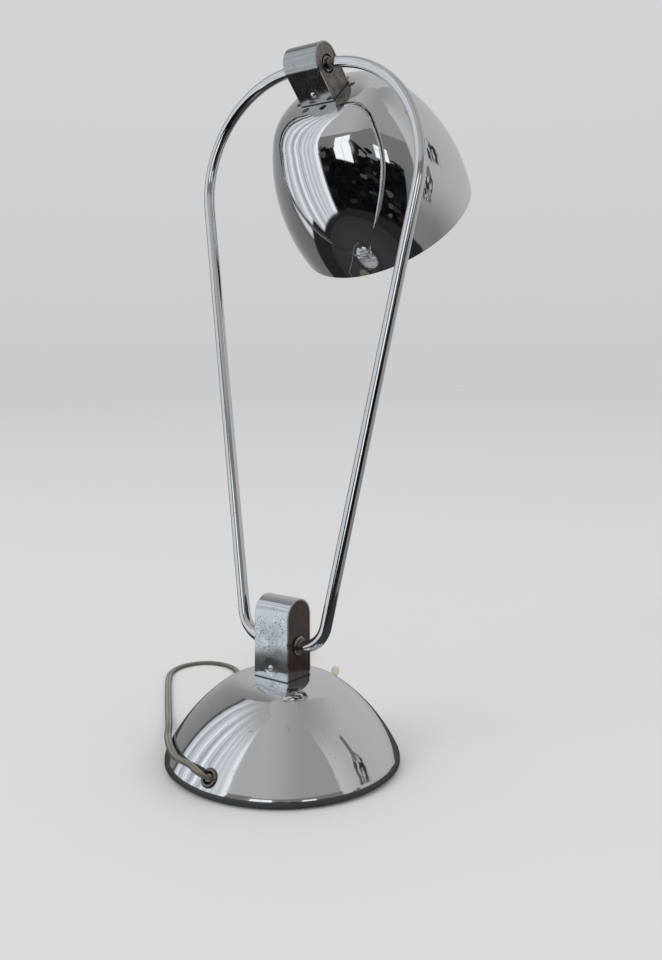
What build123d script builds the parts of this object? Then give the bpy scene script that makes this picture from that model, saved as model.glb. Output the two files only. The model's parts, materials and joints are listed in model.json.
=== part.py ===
"""Chromed desk lamp: a pear-shaped tube loop hinged between two strapped bearing blocks.

Millimetres, Z up.  The origin is the middle of the underside of the base.  +X runs along both
hinge axes and +Y is the side that the shade points to.  The cord leaves at the rear, -Y.
"""
import os
from math import atan2, ceil, cos, degrees, pi, radians, sin, sqrt, tan

from build123d import *

# base: a spun cover on a felted plate, with an iron weight inside
base_radius = 80.0
base_land_height = 58.0
base_land_radius = 22.0
base_shoulder_radius = 32.0
base_shoulder_angle = 34.0
base_rim_height = 8.0
base_rim_step = 1.0
base_wall = 1.0
base_lip_width = 5.0
felt_inset = 3.0
felt_thickness = 1.5
plate_thickness = 1.0
weight_inset = 25.0
weight_thickness = 13.0
weight_edge = 2.0
plate_screw_count = 3
plate_screw_inset = 11.0
plate_screw_head = 7.0
plate_screw_dome = 1.2
plate_screw_shank = 3.6
plate_screw_length = 9.0

# hinge blocks, each wrapped in a strap
strap_width = 28.5
strap_depth = 25.0
strap_thickness = 1.2
block_recess = 0.35
block_foot = 22.5
lower_arch_rise = 19.0
upper_arch_rise = 3.5
strap_screw_height = 7.5
strap_screw_head = 4.4
strap_screw_dome = 1.2
strap_screw_shank = 2.6
strap_screw_length = 6.2
strap_screw_slot = 0.6

# loop
tube_diameter = 8.0
tube_wall = 0.8
tube_gap = 7.0
loop_side_run = 16.5
loop_lower_bend = 20.0
loop_splay_angle = 10.9
loop_arch_radius = 79.0
loop_top_run = 14.5
loop_lean_angle = 4.7
loop_wire_hole = 5.0

# ferrules that line the blocks where the loop passes
running_clearance = 0.05
seat_clearance = 0.05
ferrule_barrel = 9.8
ferrule_length = 7.0
lower_flange_diameter = 12.4
lower_flange_proud = 1.8
upper_flange_diameter = 10.9
upper_flange_proud = 0.5
upper_recess_diameter = 13.6
upper_recess_depth = 1.4
flange_bevel = 0.5

# shade
shade_tilt_angle = 44.0
shade_length = 113.0
shade_mouth_radius = 69.5
shade_land_radius = 20.0
shade_shoulder_radius = 36.0
shade_shoulder_angle = 59.0
shade_wall = 0.9
shade_bead = 1.3
vent_count = 8
vent_diameter = 6.0
vent_circle_radius = 20.0
vent_turn_angle = 22.5

# threaded tubes with their nuts and washers
thread_diameter = 10.0
thread_bore = 6.4
thread_clearance = 0.1
thread_in_block = 10.0
nut_across = 14.0
nut_thickness = 4.0
washer_radius = 9.5
washer_thickness = 1.2
nut_pocket_radius = 11.0
nut_pocket_depth = 7.0
stem_tail = 1.1
stem_slot_height = 45.0
stem_slot_width = 4.4
stem_slot_length = 12.0
stem_lead_height = 41.0

# switch
switch_inset = 24.0
switch_bush_diameter = 9.0
switch_bush_proud = 3.2
switch_bush_bore = 6.8
switch_bush_bevel = 0.4
switch_nut_diameter = 13.0
switch_nut_thickness = 2.0
switch_collar_drop = 1.4
switch_body_drop = 4.0
switch_body_width = 13.0
switch_body_length = 20.0
switch_body_height = 12.0
switch_pivot_height = 0.5
lever_diameter = 5.6
lever_neck = 3.6
lever_ball = 6.0
lever_reach = 11.0
lever_shoulder = 4.3
lever_taper = 0.8
lever_throw_angle = 24.0

# lampholder and bulb, one behind the other below the shade's crown
holder_neck_radius = 8.0
holder_neck_length = 8.0
holder_cap_radius = 14.0
holder_shoulder = 6.0
holder_skirt = 7.0
holder_body_radius = 13.2
holder_body_length = 21.0
holder_spigot = 5.0
holder_wall = 2.0
holder_floor = 4.0
screw_shell_radius = 7.4
screw_shell_wall = 0.4
screw_shell_length = 17.0
contact_radius = 2.5
contact_height = 2.0
bulb_cap_radius = 6.8
bulb_cap_length = 16.5
bulb_cap_bevel = 3.0
bulb_neck_radius = 6.6
bulb_neck_length = 0.8
bulb_blend_radius = 9.0
bulb_radius = 22.5
glass_wall = 0.8

# flex: outside the base it lies free, inside it is held
cord_diameter = 5.0
eyelet_flange = 11.8
eyelet_bore = 7.4
eyelet_barrel = 8.8
eyelet_proud = 1.1
eyelet_depth = 3.0
eyelet_inset = 3.7
eyelet_turn_angle = 2.8
lead_diameter = 5.0
lead_gap = 0.5
lead_entry_run = 12.0
arm_lead_reach = 2.0
switch_lead_diameter = 3.4
clamp_width = 17.0
clamp_length = 8.0
clamp_height = 7.5
clamp_corner = 1.5
clamp_inset = 11.0
clamp_screw_spacing = 11.4
clamp_screw_head = 4.0
clamp_screw_dome = 1.0
clamp_screw_shank = 2.0
clamp_screw_bite = 4.0

# flat two-pin plug
plug_relief_wall = 0.8
plug_relief_diameter = 8.0
plug_relief_length = 13.0
plug_rear_width = 14.0
plug_rear_height = 9.0
plug_width = 25.5
plug_height = 13.7
plug_length = 35.0
plug_corner = 3.0
plug_seat = 6.0
pin_diameter = 4.0
pin_length = 19.0
pin_spacing = 18.6

# the held leads, from corner to corner of their centre lines
lead_inward_run = 9.5
lead_corner_inset = 16.3
lead_height = 18.1
lead_route = [
    (0, -24.0, 18.1),
    (16.0, -7.0, 18.1),
    (24.0, 16.0, 18.6),
    (24.0, 38.0, 25.0),
]

# the free cord: round the base in degrees, outwards from its rim and up, then over the table
cord_exit_run = 7.0
cord_round_base = [
    (-92.0, 6.9, 18.2),
    (-100.3, 3.9, 18.4),
    (-111.2, 2.8, 18.2),
    (-122.8, 1.2, 18.0),
    (-134.2, 0.3, 17.0),
    (-152.2, 2.5, 12.6),
    (-169.0, 14.7, 7.0),
]
cord_route = [
    (-113.0, 1.5, 3.4),
    (-134.0, 22.0, 2.6),
    (-159.0, 46.0, 2.6),
    (-182.5, 68.5, 2.6),
    (-197.5, 85.1, 2.6),
    (-202.1, 107.1, 2.6),
    (-190.9, 126.0, 2.6),
    (-168.0, 130.0, 2.6),
    (-148.2, 120.1, 2.6),
]
cord_coil_run = 26.0
tail_coil_run = 15.0
tail_route = [(-81.5, 144.5, 7.7), (-103.4, 140.0, 7.2)]
tail_plug_run = 13.0
plug_entry = (-126.7, 153.5)
plug_heading_angle = 38.1
arc_share = 0.45

# the coil of spare cord: seen from above it runs anticlockwise, inwards and out again on top
coil_pitch = 5.5
coil_turns_in = 3.25
coil_inner_radius = 21.0
coil_centre = (-81.3, 98.9)
coil_start_angle = 218.1
floor_clearance = 0.1


def turned(origin, lean):
    """A frame whose up direction leans back, towards -Y, by an angle about X."""
    up = (0, -sin(radians(lean)), cos(radians(lean)))
    return Plane(origin=origin, x_dir=(1, 0, 0), z_dir=up)


def swung(frame, angle):
    """A frame carried round the lamp's upright axis."""
    return Plane(
        origin=frame.origin.rotate(Axis.Z, angle),
        x_dir=frame.x_dir.rotate(Axis.Z, angle),
        z_dir=frame.z_dir.rotate(Axis.Z, angle),
    )


def side_of(frame):
    """The plane through a frame's origin that faces its X, with its up direction upwards."""
    return Plane(origin=frame.origin, x_dir=frame.y_dir, z_dir=frame.x_dir)


def face_of(frame):
    """The plane through a frame's origin that holds its X and its up direction."""
    return Plane(origin=frame.origin, x_dir=frame.x_dir, z_dir=-frame.y_dir)


def up_axis(frame):
    return Axis(frame.origin, frame.z_dir)


class Crown:
    """The profile of a spun shell: a flat land, a round shoulder and one long side arc."""

    def __init__(self, land, shoulder, angle, end_radius, depth):
        self.land = land
        self.shoulder = shoulder
        self.turn = radians(angle)
        across = end_radius - land - shoulder * sin(self.turn)
        down = depth - shoulder * (1 - cos(self.turn))
        along = across * cos(self.turn) + down * sin(self.turn)
        inward = down * cos(self.turn) - across * sin(self.turn)
        self.side = (along**2 + inward**2) / (2 * inward)
        self.sweep = atan2(along, self.side - inward)
        self.centre_x = land + (shoulder - self.side) * sin(self.turn)
        self.centre_y = (shoulder - self.side) * cos(self.turn) - shoulder

    def arcs(self, wall):
        """Draw the shoulder and the side at a depth inside the outer skin."""
        turn, sweep = degrees(self.turn), degrees(self.sweep)
        CenterArc((self.land, -self.shoulder), self.shoulder - wall, 90, -turn)
        CenterArc((self.centre_x, self.centre_y), self.side - wall, 90 - turn, -sweep)

    def end(self, wall):
        """Where the side arc ends at a depth inside the outer skin."""
        angle = self.turn + self.sweep
        reach = self.side - wall
        return self.centre_x + reach * sin(angle), self.centre_y + reach * cos(angle)

    def at(self, radius):
        """Height against the land, and the slope in degrees, of the side at a radius."""
        across = radius - self.centre_x
        height = sqrt(self.side**2 - across**2)
        return self.centre_y + height, degrees(atan2(across, height))


lower_frame = turned((0, 0, base_land_height + block_foot), 0)
loop_frame = turned(lower_frame.origin, -loop_lean_angle)
felt_radius = base_radius - felt_inset
weight_radius = base_radius - weight_inset
plate_screw_circle_radius = weight_radius - plate_screw_inset
clamp_distance = weight_radius - clamp_inset
rim_bottom = felt_thickness + plate_thickness
weight_top = rim_bottom + weight_thickness
land_frame = turned((0, 0, base_land_height), 0)
dome = Crown(
    base_land_radius,
    base_shoulder_radius,
    base_shoulder_angle,
    base_radius - base_rim_step,
    base_land_height - base_rim_height,
)
eyelet_radius = base_radius - eyelet_inset
eyelet_drop, eyelet_slope = dome.at(eyelet_radius)
eyelet_spot = (0, -eyelet_radius, base_land_height + eyelet_drop)
eyelet_frame = swung(turned(eyelet_spot, eyelet_slope), eyelet_turn_angle)
switch_radius = base_radius - switch_inset
switch_drop, switch_slope = dome.at(switch_radius)
switch_frame = turned((0, switch_radius, base_land_height + switch_drop), -switch_slope)
switch_pivot = switch_frame.from_local_coords((0, 0, switch_pivot_height))
lever_frame = turned(switch_pivot, lever_throw_angle / 2 - switch_slope)

# corners of the loop's centre line, on its right side, before they are rounded
lower_corner = loop_side_run + loop_lower_bend * tan(radians(90 - loop_splay_angle) / 2)
upper_corner = loop_top_run + loop_arch_radius * tan(radians(90 + loop_splay_angle) / 2)
loop_height = (upper_corner - lower_corner) / tan(radians(loop_splay_angle))
upper_frame = turned(loop_frame.from_local_coords((0, 0, loop_height)), shade_tilt_angle)
crown_frame = upper_frame.offset(-block_foot)
shade_form = Crown(
    shade_land_radius,
    shade_shoulder_radius,
    shade_shoulder_angle,
    shade_mouth_radius,
    shade_length,
)

# the lampholder's stack, measured from the outside of the shade's crown
washer_top = -shade_wall
nut_top = washer_top - washer_thickness
neck_top = nut_top - nut_thickness
cap_top = neck_top - holder_neck_length
skirt_top = cap_top - holder_shoulder
body_top = skirt_top - holder_skirt
mouth = body_top - holder_body_length
socket_top = body_top - holder_floor / 2
contact_bottom = socket_top - contact_height
bulb_cap_end = contact_bottom - bulb_cap_length

plug_turn = radians(plug_heading_angle)
plug_frame = Plane(
    origin=(*plug_entry, plug_height / 2 + floor_clearance),
    x_dir=(cos(plug_turn), sin(plug_turn), 0),
    z_dir=(-sin(plug_turn), cos(plug_turn), 0),
)


def spun(frame, *points):
    """A body turned from straight lines, given as (radius, height) in a frame."""
    with BuildPart() as piece:
        with BuildSketch(face_of(frame)):
            with BuildLine():
                Polyline(*points, close=True)
            make_face()
        revolve(axis=up_axis(frame))
    return piece.part


def base_dome():
    """Land, shoulder, side, a short upright rim and a lip turned in under it."""
    rim = -base_land_height + rim_bottom
    rim_top = -base_land_height + base_rim_height / 2
    inside = base_radius - base_wall
    lip = base_radius - base_lip_width
    slope = dome.turn + dome.sweep
    with BuildPart() as shell:
        with BuildSketch(face_of(land_frame)):
            with BuildLine():
                Line((0, 0), (dome.land, 0))
                dome.arcs(0)
                TangentArc(dome.end(0), (base_radius, rim_top), tangent=(cos(slope), -sin(slope)))
                Polyline((base_radius, rim_top), (base_radius, rim), (lip, rim))
                Polyline((lip, rim), (lip, rim + base_wall), (inside, rim + base_wall))
                Line((inside, rim + base_wall), dome.end(base_wall))
                dome.arcs(base_wall)
                Polyline((dome.land, -base_wall), (0, -base_wall), (0, 0))
            make_face()
        revolve(axis=Axis.Z)
        with BuildSketch(Plane.XY):
            Circle(thread_diameter / 2 + thread_clearance)
        extrude(amount=2 * base_land_height, mode=Mode.SUBTRACT)
        for frame, diameter in ((eyelet_frame, eyelet_barrel), (switch_frame, switch_bush_diameter)):
            with BuildSketch(frame):
                Circle(diameter / 2 + seat_clearance)
            extrude(amount=4 * base_wall, both=True, mode=Mode.SUBTRACT)
    return shell.part


def base_plate():
    """Disc under the lip, open in the middle for the nut and drilled for its screws."""
    with BuildPart() as plate:
        with BuildSketch(Plane.XY.offset(felt_thickness)):
            Circle(felt_radius)
            Circle(nut_pocket_radius, mode=Mode.SUBTRACT)
            with PolarLocations(plate_screw_circle_radius, plate_screw_count, start_angle=90):
                Circle(plate_screw_shank / 2 + thread_clearance, mode=Mode.SUBTRACT)
        extrude(amount=plate_thickness)
    return plate.part


def base_felt():
    """Felt disc, pierced for the screw heads, which stay above the table."""
    with BuildPart() as felt:
        with BuildSketch():
            Circle(felt_radius)
            with PolarLocations(plate_screw_circle_radius, plate_screw_count, start_angle=90):
                Circle(plate_screw_head / 2 + seat_clearance, mode=Mode.SUBTRACT)
        extrude(amount=felt_thickness)
    return felt.part


def base_weight():
    """Cast ring on the plate: a pocket for the nut below, screw holes and a bevelled edge."""
    with BuildPart() as weight:
        with BuildSketch(Plane.XY.offset(rim_bottom)):
            Circle(weight_radius)
        extrude(amount=weight_thickness)
        chamfer(weight.edges().group_by(Axis.Z)[-1], weight_edge)
        with BuildSketch(Plane.XY.offset(rim_bottom)):
            Circle(thread_diameter / 2 + thread_clearance)
        extrude(amount=weight_thickness, mode=Mode.SUBTRACT)
        with BuildSketch(Plane.XY.offset(rim_bottom)):
            Circle(nut_pocket_radius)
        extrude(amount=nut_pocket_depth, mode=Mode.SUBTRACT)
        with BuildSketch(Plane.XY.offset(rim_bottom)):
            with PolarLocations(plate_screw_circle_radius, plate_screw_count, start_angle=90):
                Circle(plate_screw_shank / 2 + thread_clearance)
        extrude(amount=plate_screw_length, mode=Mode.SUBTRACT)
        with BuildSketch(Plane.XY.offset(weight_top)):
            with Locations((0, -clamp_distance)):
                with GridLocations(clamp_screw_spacing, 0, 2, 1):
                    Circle(clamp_screw_shank / 2 + thread_clearance)
        extrude(amount=-clamp_screw_bite - seat_clearance, mode=Mode.SUBTRACT)
    return weight.part


def screw(frame, head, dome_height, shank, length, slot=strap_screw_slot):
    """A slotted round-headed screw, its head standing on a frame and its shank below."""
    ball = (head**2 / 4 + dome_height**2) / (2 * dome_height)
    with BuildPart() as piece:
        with BuildSketch(face_of(frame)):
            with BuildLine():
                ThreePointArc(
                    (0, dome_height),
                    (head / 4, dome_height - ball + sqrt(ball**2 - head**2 / 16)),
                    (head / 2, 0),
                )
                Polyline((head / 2, 0), (shank / 2, 0), (shank / 2, -length), (0, -length))
                Line((0, -length), (0, dome_height))
            make_face()
        revolve(axis=up_axis(frame))
        with BuildSketch(frame.offset(dome_height / 2)):
            Rectangle(head, slot)
        extrude(amount=dome_height, mode=Mode.SUBTRACT)
    return piece.part


def together(pieces):
    """Identical separate solids kept as one named piece."""
    with BuildPart() as group:
        for piece in pieces:
            add(piece)
    return group.part


def plate_screws():
    """Screws driven from below, their heads sunk in the felt."""
    pieces = []
    for number in range(plate_screw_count):
        turn = radians(90 + 360 * number / plate_screw_count)
        spot = (plate_screw_circle_radius * cos(turn), plate_screw_circle_radius * sin(turn), felt_thickness)
        below = Plane(origin=spot, x_dir=(1, 0, 0), z_dir=(0, 0, -1))
        pieces.append(
            screw(below, plate_screw_head, plate_screw_dome, plate_screw_shank, plate_screw_length)
        )
    return together(pieces)


def threaded_tube(frame, top, bottom):
    with BuildPart() as tube:
        with BuildSketch(frame.offset(bottom)):
            Circle(thread_diameter / 2)
            Circle(thread_bore / 2, mode=Mode.SUBTRACT)
        extrude(amount=top - bottom)
    return tube.part


def tie_tube():
    """Hollow threaded stem from the block down to the nut, slotted where the lead enters."""
    washer_roof = rim_bottom + nut_pocket_depth
    stem_end = washer_roof - washer_thickness - nut_thickness - stem_tail
    stem_top = base_land_height + thread_in_block
    with BuildPart() as stem:
        add(threaded_tube(Plane.XY, stem_top, stem_end))
        with BuildSketch(Plane.XZ):
            with Locations((0, stem_slot_height)):
                SlotCenterToCenter(stem_slot_length - stem_slot_width, stem_slot_width, rotation=90)
        extrude(amount=-thread_diameter, mode=Mode.SUBTRACT)
    return stem.part


def washer(frame):
    """A plain washer that hangs below a frame's origin."""
    with BuildPart() as ring:
        with BuildSketch(frame):
            Circle(washer_radius)
            Circle(thread_diameter / 2 + thread_clearance, mode=Mode.SUBTRACT)
        extrude(amount=-washer_thickness)
        chamfer(ring.edges().group_by(Axis(frame.origin, frame.z_dir))[0], washer_thickness / 4)
    return ring.part


def nut(frame):
    """A hexagon nut that hangs below a frame's origin, its far corners turned off."""
    with BuildPart() as hexagon:
        with BuildSketch(frame):
            RegularPolygon(nut_across / 2, 6, major_radius=False)
            Circle(thread_diameter / 2 + thread_clearance, mode=Mode.SUBTRACT)
        extrude(amount=-nut_thickness)
        corner = nut_across / sqrt(3)
        with BuildSketch(face_of(frame)):
            with BuildLine():
                Polyline(
                    (nut_across / 2, -nut_thickness),
                    (corner + 1, -nut_thickness + (corner + 1 - nut_across / 2) / sqrt(3)),
                    (corner + 1, -nut_thickness),
                    close=True,
                )
            make_face()
        revolve(axis=up_axis(frame), mode=Mode.SUBTRACT)
    return hexagon.part


def arch(half_depth, rise):
    """Draw a block's outline seen from its side: a flat foot and a round top."""
    Line((-half_depth, rise), (-half_depth, -block_foot))
    Line((-half_depth, -block_foot), (half_depth, -block_foot))
    Line((half_depth, -block_foot), (half_depth, rise))
    CenterArc((0, rise), half_depth, 0, 180)


def bearing_block(frame, rise, recess_diameter):
    """Block inside a strap: cross bore for the loop, stem and lead bores, screw holes."""
    half_depth = strap_depth / 2 - strap_thickness
    half_width = strap_width / 2 - block_recess
    with BuildPart() as body:
        with BuildSketch(side_of(frame)):
            with BuildLine():
                arch(half_depth, rise)
            make_face()
        extrude(amount=half_width, both=True)
        with BuildSketch(side_of(frame)):
            Circle(ferrule_barrel / 2 + seat_clearance)
        extrude(amount=half_width, both=True, mode=Mode.SUBTRACT)
        if recess_diameter:
            for face in (half_width, -half_width):
                with BuildSketch(side_of(frame).offset(face)):
                    Circle(recess_diameter / 2)
                depth = -upper_recess_depth if face > 0 else upper_recess_depth
                extrude(amount=depth, mode=Mode.SUBTRACT)
        with BuildSketch(frame.offset(-block_foot)):
            Circle(thread_diameter / 2 + thread_clearance)
        extrude(amount=thread_in_block, mode=Mode.SUBTRACT)
        with BuildSketch(frame.offset(-block_foot)):
            Circle(thread_bore / 2)
        extrude(amount=block_foot, mode=Mode.SUBTRACT)
        with BuildSketch(face_of(frame)):
            with Locations((0, strap_screw_height - block_foot)):
                Circle(strap_screw_shank / 2 + seat_clearance)
        extrude(amount=half_depth, both=True, mode=Mode.SUBTRACT)
    return body.part


def strap(frame, rise):
    """Bright metal band over the front, top and back of a block."""
    half_width = strap_width / 2
    with BuildPart() as band:
        with BuildSketch(side_of(frame)):
            with BuildLine():
                arch(strap_depth / 2, rise)
            make_face()
            with BuildLine():
                arch(strap_depth / 2 - strap_thickness, rise)
            make_face(mode=Mode.SUBTRACT)
        extrude(amount=half_width, both=True)
        with BuildSketch(face_of(frame)):
            with Locations((0, strap_screw_height - block_foot)):
                Circle(strap_screw_shank / 2 + seat_clearance)
        extrude(amount=strap_depth, both=True, mode=Mode.SUBTRACT)
    return band.part


def strap_screws(frame):
    """One slotted screw low in each face of a strap."""
    pieces = []
    for side in (1, -1):
        spot = frame.from_local_coords((0, side * strap_depth / 2, strap_screw_height - block_foot))
        outward = Plane(origin=spot, x_dir=frame.x_dir, z_dir=frame.y_dir * side)
        pieces.append(
            screw(outward, strap_screw_head, strap_screw_dome, strap_screw_shank, strap_screw_length)
        )
    return together(pieces)


def ferrules(frame, flange_diameter, seat, proud):
    """A flanged bearing sleeve in each side face of a block."""
    bore = tube_diameter / 2 + running_clearance
    barrel = ferrule_barrel / 2
    flange = flange_diameter / 2
    pieces = []
    for side in (1, -1):
        spot = frame.from_local_coords((side * (strap_width / 2 - block_recess), 0, 0))
        outward = Plane(origin=spot, x_dir=frame.y_dir, z_dir=frame.x_dir * side)
        pieces.append(
            spun(
                outward,
                (bore, -ferrule_length),
                (barrel, -ferrule_length),
                (barrel, -seat),
                (flange, -seat),
                (flange, proud - flange_bevel),
                (flange - flange_bevel, proud),
                (bore, proud),
            )
        )
    return together(pieces)


def loop_corner_points(side):
    """The two corners of one leg in world coordinates, from below."""
    return [
        loop_frame.from_local_coords((side * lower_corner, 0, 0)),
        loop_frame.from_local_coords((side * upper_corner, 0, loop_height)),
    ]


def loop_tube():
    """Bent tube whose ends face each other inside the lower block, pierced for the lead."""
    start = loop_frame.from_local_coords((tube_gap / 2, 0, 0))
    finish = loop_frame.from_local_coords((-tube_gap / 2, 0, 0))
    leg = loop_corner_points(1)
    other = loop_corner_points(-1)
    bends = (loop_lower_bend, loop_arch_radius, loop_arch_radius, loop_lower_bend)
    with BuildPart() as tube:
        with BuildLine():
            path = FilletPolyline(
                start, leg[0], leg[1], other[1], other[0], finish, radius=bends
            )
        with BuildSketch(Plane(origin=start, z_dir=loop_frame.x_dir)):
            Circle(tube_diameter / 2)
            Circle(tube_diameter / 2 - tube_wall, mode=Mode.SUBTRACT)
        sweep(path=path)
        with BuildSketch(upper_frame):
            Circle(loop_wire_hole / 2)
        extrude(amount=-tube_diameter, mode=Mode.SUBTRACT)
    return tube.part


def rod(name, points, diameter, radii):
    """A round lead along straight runs that are joined by tangent arcs."""
    with BuildPart() as piece:
        with BuildLine():
            path = FilletPolyline(*points, radius=radii)
        with BuildSketch(Plane(origin=path @ 0, z_dir=path % 0)):
            Circle(diameter / 2)
        sweep(path=path)
    whole = path.length * pi * diameter**2 / 4
    print(name, "radii", [round(radius, 1) for radius in radii], end=" ")
    print("length", round(path.length, 1), "volume", round(piece.part.volume / whole, 4))
    return piece.part


def bend_radii(points):
    """A radius for each corner that leaves a straight piece between neighbouring arcs."""
    radii = []
    for before, corner, after in zip(points, points[1:], points[2:]):
        into = Vector(*corner) - Vector(*before)
        out = Vector(*after) - Vector(*corner)
        half_turn = radians(into.get_angle(out)) / 2
        radii.append(arc_share * min(into.length, out.length) / tan(half_turn))
    return radii


def arm_lead():
    """Lead inside the right leg, from the gap between the tube's ends to the top hole."""
    start = loop_frame.from_local_coords((tube_gap / 2 - arm_lead_reach, 0, 0))
    finish = loop_frame.from_local_coords((0, 0, loop_height))
    points = [start, *loop_corner_points(1), finish]
    return rod("arm_lead", points, lead_diameter, [loop_lower_bend, loop_arch_radius])


def shade():
    """Spun bell: flat crown, round shoulder, long side that turns in, beaded mouth."""
    bead_x, bead_y = shade_form.end(shade_bead)
    with BuildPart() as shell:
        with BuildSketch(face_of(crown_frame)):
            with BuildLine():
                Line((0, 0), (shade_form.land, 0))
                shade_form.arcs(0)
                Line(shade_form.end(0), shade_form.end(shade_wall))
                shade_form.arcs(shade_wall)
                Polyline((shade_form.land, -shade_wall), (0, -shade_wall), (0, 0))
            make_face()
            with Locations((bead_x, bead_y + shade_bead)):
                Circle(shade_bead)
        revolve(axis=up_axis(crown_frame))
        with BuildSketch(crown_frame):
            Circle(thread_diameter / 2 + thread_clearance)
            with PolarLocations(vent_circle_radius, vent_count, start_angle=vent_turn_angle):
                Circle(vent_diameter / 2)
        extrude(amount=-vent_diameter, mode=Mode.SUBTRACT)
    return shell.part


def head_lead():
    """Lead from under the tube's hole, down the nipple, to the floor of the lampholder."""
    with BuildPart() as lead:
        with BuildSketch(upper_frame.offset(-tube_diameter / 2 - lead_gap)):
            Circle(lead_diameter / 2)
        extrude(amount=body_top - block_foot + tube_diameter / 2 + lead_gap)
    return lead.part


def lampholder_cap():
    """Domed cap with a threaded neck, hollow over the terminals."""
    wall = holder_wall
    inner = holder_cap_radius - wall
    return spun(
        crown_frame,
        (thread_diameter / 2 + thread_clearance, neck_top),
        (holder_neck_radius, neck_top),
        (holder_neck_radius, cap_top),
        (holder_cap_radius - wall, cap_top - wall),
        (holder_cap_radius, skirt_top),
        (holder_cap_radius, body_top),
        (inner, body_top),
        (inner, skirt_top),
        (thread_diameter / 2 + thread_clearance, cap_top - wall),
    )


def lampholder_body():
    """Moulded body whose spigot screws into the cap, bored for the screw shell."""
    spigot = holder_cap_radius - holder_wall - thread_clearance
    socket = screw_shell_radius + seat_clearance
    return spun(
        crown_frame,
        (0, body_top),
        (spigot - holder_wall, body_top),
        (spigot - holder_wall, body_top + holder_spigot),
        (spigot, body_top + holder_spigot),
        (spigot, body_top),
        (holder_body_radius, body_top),
        (holder_body_radius, mouth),
        (socket, mouth),
        (socket, socket_top),
        (0, socket_top),
    )


def lampholder_shell():
    inner = screw_shell_radius - screw_shell_wall
    return spun(
        crown_frame,
        (contact_radius + holder_wall, socket_top),
        (screw_shell_radius, socket_top),
        (screw_shell_radius, socket_top - screw_shell_length),
        (inner, socket_top - screw_shell_length),
        (inner, socket_top - screw_shell_wall),
        (contact_radius + holder_wall, socket_top - screw_shell_wall),
    )


def lampholder_contact():
    with BuildPart() as contact:
        with BuildSketch(crown_frame.offset(socket_top)):
            Circle(contact_radius)
        extrude(amount=-contact_height)
    return contact.part


def bulb_cap():
    """Screw cap with its insulated end and the solder tip against the contact."""
    return spun(
        crown_frame,
        (0, contact_bottom),
        (contact_radius, contact_bottom),
        (contact_radius, contact_bottom - contact_height / 2),
        (bulb_cap_radius, contact_bottom - bulb_cap_bevel),
        (bulb_cap_radius, bulb_cap_end),
        (0, bulb_cap_end),
    )


def bulb_glass():
    """Round envelope that sweeps into its neck, hollow."""
    reach = bulb_radius + bulb_blend_radius
    across = bulb_neck_radius + bulb_blend_radius
    neck_end = bulb_cap_end - bulb_neck_length
    ball = neck_end - sqrt(reach**2 - across**2)
    lean = degrees(atan2(neck_end - ball, across))
    with BuildPart() as envelope:
        with BuildSketch(face_of(crown_frame)):
            for inset, mode in ((0, Mode.ADD), (glass_wall, Mode.SUBTRACT)):
                neck = bulb_neck_radius - inset
                size = bulb_radius - inset
                with BuildLine():
                    Polyline((0, ball - size), (0, bulb_cap_end), (neck, bulb_cap_end))
                    Line((neck, bulb_cap_end), (neck, neck_end))
                    CenterArc((across, neck_end), bulb_blend_radius + inset, 180, lean)
                    CenterArc((0, ball), size, lean, -90 - lean)
                make_face(mode=mode)
        revolve(axis=up_axis(crown_frame))
    return envelope.part


def switch_body():
    """Moulded switch under the cover, with a collar that seats on the inside of it."""
    with BuildPart() as body:
        with BuildSketch(switch_frame.offset(-switch_body_drop)):
            RectangleRounded(switch_body_width, switch_body_length, 1)
        extrude(amount=-switch_body_height)
        with BuildSketch(switch_frame.offset(-switch_collar_drop)):
            Circle(switch_nut_diameter / 2)
            Circle(switch_bush_diameter / 2 + seat_clearance, mode=Mode.SUBTRACT)
        extrude(amount=switch_collar_drop - switch_body_drop)
    return body.part


def switch_bush():
    return spun(
        switch_frame,
        (switch_bush_bore / 2, -switch_body_drop),
        (switch_bush_diameter / 2, -switch_body_drop),
        (switch_bush_diameter / 2, switch_bush_proud - switch_bush_bevel),
        (switch_bush_diameter / 2 - switch_bush_bevel, switch_bush_proud),
        (switch_bush_bore / 2, switch_bush_proud),
    )


def switch_nut():
    """Round nut that clamps the bush to the cover."""
    bevel = switch_bush_bevel
    return spun(
        switch_frame,
        (switch_bush_diameter / 2 + seat_clearance, 0),
        (switch_nut_diameter / 2, 0),
        (switch_nut_diameter / 2, switch_nut_thickness - bevel),
        (switch_nut_diameter / 2 - bevel, switch_nut_thickness),
        (switch_bush_diameter / 2 + seat_clearance, switch_nut_thickness),
    )


def switch_lever():
    """Ball in the bush, slim neck and a round-ended knob."""
    ball = lever_ball / 2
    neck = lever_neck / 2
    knob = lever_diameter / 2
    collar = sqrt(ball**2 - neck**2)
    dome_start = lever_reach - knob
    with BuildPart() as lever:
        with BuildSketch(face_of(lever_frame)):
            with BuildLine():
                Line((0, lever_reach), (0, -ball))
                ThreePointArc((0, -ball), (ball, 0), (neck, collar))
                Polyline((neck, collar), (neck, lever_shoulder - lever_taper))
                Line((neck, lever_shoulder - lever_taper), (knob, lever_shoulder))
                Line((knob, lever_shoulder), (knob, dome_start))
                CenterArc((0, dome_start), knob, 0, 90)
            make_face()
        revolve(axis=up_axis(lever_frame))
    return lever.part


def cord_eyelet():
    """Rolled bright eyelet in the rear of the cover."""
    bore = eyelet_bore / 2
    flange = eyelet_flange / 2
    return spun(
        eyelet_frame,
        (bore, -eyelet_depth),
        (eyelet_barrel / 2, -eyelet_depth),
        (eyelet_barrel / 2, 0),
        (flange, 0),
        (flange, eyelet_proud / 2),
        (flange - eyelet_proud / 2, eyelet_proud),
        (bore + eyelet_proud / 3, eyelet_proud),
        (bore, eyelet_proud * 2 / 3),
    )


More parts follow.
